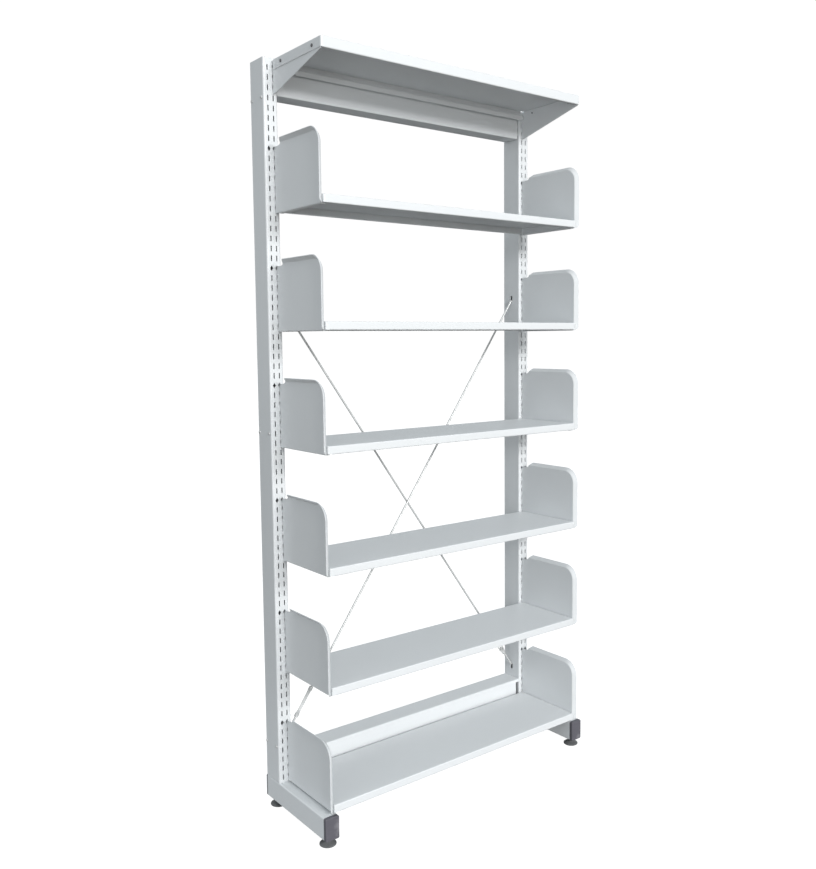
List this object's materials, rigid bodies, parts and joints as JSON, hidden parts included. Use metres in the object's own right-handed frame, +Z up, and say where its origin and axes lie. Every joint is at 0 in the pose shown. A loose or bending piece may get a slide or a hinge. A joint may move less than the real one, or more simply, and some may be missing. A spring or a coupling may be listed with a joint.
{
  "type": "single-sided library rack",
  "caption": "Single-sided steel library rack: slotted columns on levelled legs carry hook-on brackets with lift-off shelves, a canopy, tie beams and tensioned cross bracing.",
  "frame": {"origin": "on the floor under the middle of the rack's bounding box", "axes": "+X to the right as seen from the front, +Y to the rear, +Z up"},
  "size_m": [0.9456, 0.314, 2],
  "materials": {
    "powder_coat": "satin light grey powder coat",
    "dark_plastic": "fine-grained moulding",
    "black_plastic": "plain moulding",
    "zinc": "bright zinc plating"
  },
  "bodies": {
    "frame": {"column_left": "powder_coat", "leg_left": "powder_coat", "leg_cap_front_left": "dark_plastic", "leg_cap_rear_left": "dark_plastic", "side_screw_left_top_front": "zinc", "side_screw_left_top_rear": "zinc", "side_screw_left_middle_front": "zinc", "side_screw_left_middle_rear": "zinc", "side_screw_left_bottom_front": "zinc", "side_screw_left_bottom_rear": "zinc", "column_right": "powder_coat", "leg_right": "powder_coat", "leg_cap_front_right": "dark_plastic", "leg_cap_rear_right": "dark_plastic", "side_screw_right_top_front": "zinc", "side_screw_right_top_rear": "zinc", "side_screw_right_middle_front": "zinc", "side_screw_right_middle_rear": "zinc", "side_screw_right_bottom_front": "zinc", "side_screw_right_bottom_rear": "zinc", "beam_top": "powder_coat", "beam_bottom": "powder_coat", "brace_rod_front": "zinc", "brace_hook_front": "zinc", "brace_rod_rear": "zinc", "brace_hook_rear": "zinc"},
    "bracket_left_1": {"bracket_left_1": "powder_coat"},
    "bracket_right_1": {"bracket_right_1": "powder_coat"},
    "shelf_1": {"shelf_1": "powder_coat"},
    "bracket_left_2": {"bracket_left_2": "powder_coat"},
    "bracket_right_2": {"bracket_right_2": "powder_coat"},
    "shelf_2": {"shelf_2": "powder_coat"},
    "bracket_left_3": {"bracket_left_3": "powder_coat"},
    "bracket_right_3": {"bracket_right_3": "powder_coat"},
    "shelf_3": {"shelf_3": "powder_coat"},
    "bracket_left_4": {"bracket_left_4": "powder_coat"},
    "bracket_right_4": {"bracket_right_4": "powder_coat"},
    "shelf_4": {"shelf_4": "powder_coat"},
    "bracket_left_5": {"bracket_left_5": "powder_coat"},
    "bracket_right_5": {"bracket_right_5": "powder_coat"},
    "shelf_5": {"shelf_5": "powder_coat"},
    "bracket_left_6": {"bracket_left_6": "powder_coat"},
    "bracket_right_6": {"bracket_right_6": "powder_coat"},
    "shelf_6": {"shelf_6": "powder_coat"},
    "canopy": {"canopy": "powder_coat", "canopy_gusset_left": "powder_coat", "canopy_gusset_right": "powder_coat", "canopy_screw_rear_left": "zinc", "canopy_screw_front_left": "zinc", "canopy_screw_rear_right": "zinc", "canopy_screw_front_right": "zinc"},
    "leveller_front_left": {"leveller_front_left": "black_plastic"},
    "leveller_front_right": {"leveller_front_right": "black_plastic"},
    "leveller_rear_left": {"leveller_rear_left": "black_plastic"},
    "leveller_rear_right": {"leveller_rear_right": "black_plastic"},
    "turnbuckle_front": {"turnbuckle_front": "zinc"},
    "turnbuckle_rear": {"turnbuckle_rear": "zinc"}
  },
  "joints": [
    {"name": "bracket_left_1_unhook", "type": "slide", "parent": "frame", "child": "bracket_left_1", "axis": [0, 0, 1], "range_m": [0, 0.0063]},
    {"name": "bracket_right_1_unhook", "type": "slide", "parent": "frame", "child": "bracket_right_1", "axis": [0, 0, 1], "range_m": [0, 0.0063]},
    {"name": "shelf_1_lift", "type": "slide", "parent": "bracket_left_1", "child": "shelf_1", "axis": [0, 0, 1], "range_m": [0, 0.19]},
    {"name": "bracket_left_2_unhook", "type": "slide", "parent": "frame", "child": "bracket_left_2", "axis": [0, 0, 1], "range_m": [0, 0.0063]},
    {"name": "bracket_right_2_unhook", "type": "slide", "parent": "frame", "child": "bracket_right_2", "axis": [0, 0, 1], "range_m": [0, 0.0063]},
    {"name": "shelf_2_lift", "type": "slide", "parent": "bracket_left_2", "child": "shelf_2", "axis": [0, 0, 1], "range_m": [0, 0.19]},
    {"name": "bracket_left_3_unhook", "type": "slide", "parent": "frame", "child": "bracket_left_3", "axis": [0, 0, 1], "range_m": [0, 0.0063]},
    {"name": "bracket_right_3_unhook", "type": "slide", "parent": "frame", "child": "bracket_right_3", "axis": [0, 0, 1], "range_m": [0, 0.0063]},
    {"name": "shelf_3_lift", "type": "slide", "parent": "bracket_left_3", "child": "shelf_3", "axis": [0, 0, 1], "range_m": [0, 0.19]},
    {"name": "bracket_left_4_unhook", "type": "slide", "parent": "frame", "child": "bracket_left_4", "axis": [0, 0, 1], "range_m": [0, 0.0063]},
    {"name": "bracket_right_4_unhook", "type": "slide", "parent": "frame", "child": "bracket_right_4", "axis": [0, 0, 1], "range_m": [0, 0.0063]},
    {"name": "shelf_4_lift", "type": "slide", "parent": "bracket_left_4", "child": "shelf_4", "axis": [0, 0, 1], "range_m": [0, 0.19]},
    {"name": "bracket_left_5_unhook", "type": "slide", "parent": "frame", "child": "bracket_left_5", "axis": [0, 0, 1], "range_m": [0, 0.0063]},
    {"name": "bracket_right_5_unhook", "type": "slide", "parent": "frame", "child": "bracket_right_5", "axis": [0, 0, 1], "range_m": [0, 0.0063]},
    {"name": "shelf_5_lift", "type": "slide", "parent": "bracket_left_5", "child": "shelf_5", "axis": [0, 0, 1], "range_m": [0, 0.19]},
    {"name": "bracket_left_6_unhook", "type": "slide", "parent": "frame", "child": "bracket_left_6", "axis": [0, 0, 1], "range_m": [0, 0.0063]},
    {"name": "bracket_right_6_unhook", "type": "slide", "parent": "frame", "child": "bracket_right_6", "axis": [0, 0, 1], "range_m": [0, 0.0063]},
    {"name": "shelf_6_lift", "type": "slide", "parent": "bracket_left_6", "child": "shelf_6", "axis": [0, 0, 1], "range_m": [0, 0.19]},
    {"name": "canopy_unhook", "type": "slide", "parent": "frame", "child": "canopy", "axis": [0, 0, 1], "range_m": [0, 0.0063]},
    {"name": "leveller_front_left_adjust", "type": "slide", "parent": "frame", "child": "leveller_front_left", "axis": [0, 0, -1], "range_m": [-0.004, 0.012]},
    {"name": "leveller_front_right_adjust", "type": "slide", "parent": "frame", "child": "leveller_front_right", "axis": [0, 0, -1], "range_m": [-0.004, 0.012]},
    {"name": "leveller_rear_left_adjust", "type": "slide", "parent": "frame", "child": "leveller_rear_left", "axis": [0, 0, -1], "range_m": [-0.004, 0.012]},
    {"name": "leveller_rear_right_adjust", "type": "slide", "parent": "frame", "child": "leveller_rear_right", "axis": [0, 0, -1], "range_m": [-0.004, 0.012]},
    {"name": "turnbuckle_front_turn", "type": "hinge", "parent": "frame", "child": "turnbuckle_front", "pos_m": [-0.3703, 0.11769, 0.2734], "axis": [0.5778, -0.0031, 0.8162], "range_deg": [-360, 360]},
    {"name": "turnbuckle_rear_turn", "type": "hinge", "parent": "frame", "child": "turnbuckle_rear", "pos_m": [0.3703, 0.12031, 0.2734], "axis": [-0.5778, 0.0031, 0.8162], "range_deg": [-360, 360]}
  ],
  "couplings": [
    {"joint": "bracket_right_1_unhook", "follows": "bracket_left_1_unhook", "ratio": 1},
    {"joint": "bracket_right_2_unhook", "follows": "bracket_left_2_unhook", "ratio": 1},
    {"joint": "bracket_right_3_unhook", "follows": "bracket_left_3_unhook", "ratio": 1},
    {"joint": "bracket_right_4_unhook", "follows": "bracket_left_4_unhook", "ratio": 1},
    {"joint": "bracket_right_5_unhook", "follows": "bracket_left_5_unhook", "ratio": 1},
    {"joint": "bracket_right_6_unhook", "follows": "bracket_left_6_unhook", "ratio": 1}
  ]
}
